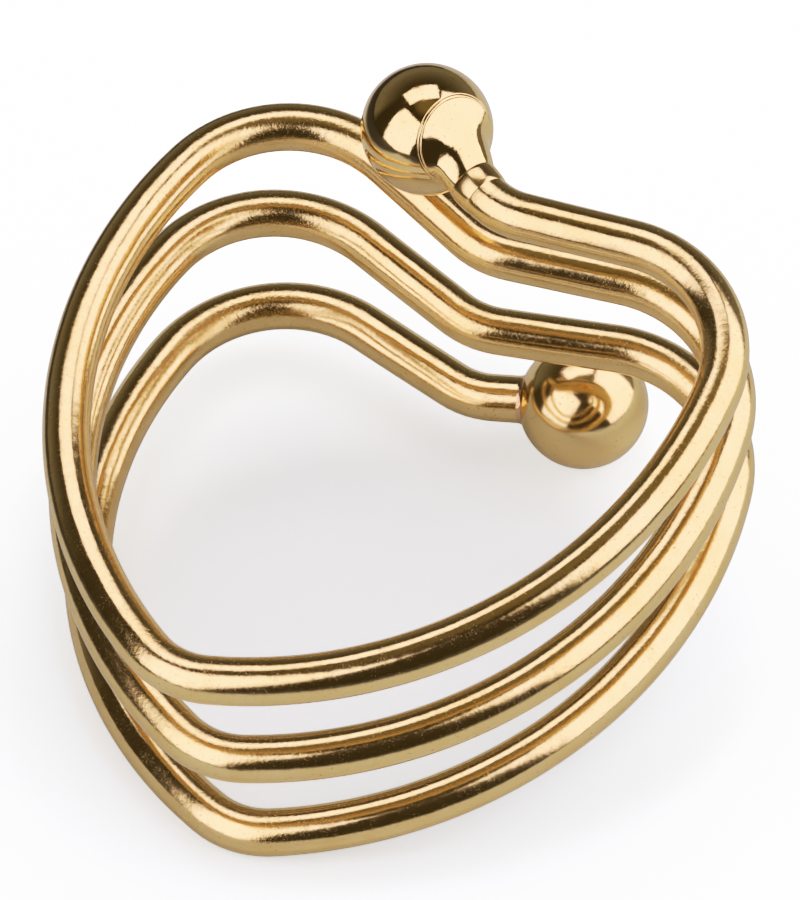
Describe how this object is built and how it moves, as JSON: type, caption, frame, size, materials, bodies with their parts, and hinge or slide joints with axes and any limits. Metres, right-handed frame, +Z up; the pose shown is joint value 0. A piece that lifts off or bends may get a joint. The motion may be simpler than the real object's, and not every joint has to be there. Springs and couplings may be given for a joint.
{
  "type": "heart coil disentanglement puzzle",
  "caption": "Metal disentanglement puzzle: a round brass rod wound as a tall heart-shaped coil, with a turned ball brazed on each free end.",
  "frame": {"origin": "on the floor the puzzle stands on, under the middle of its bounding box", "axes": "+Z up as the puzzle stands; the heart's tip points to -Y and its notch, with both balls, lies towards +Y; +X to the right seen from the tip"},
  "size_m": [0.0766, 0.0838, 0.0621],
  "materials": {
    "brass_rod": "polished drawn rod, slightly orange-peeled inside the bends",
    "brass_ball": "turned and mirror polished",
    "braze": "brazing filler with a faint pink heat tint"
  },
  "bodies": {
    "root": {"heart_coil": "brass_rod", "top_ball": "brass_ball", "bottom_ball": "brass_ball", "top_braze_ring": "braze", "bottom_braze_ring": "braze"}
  },
  "joints": []
}
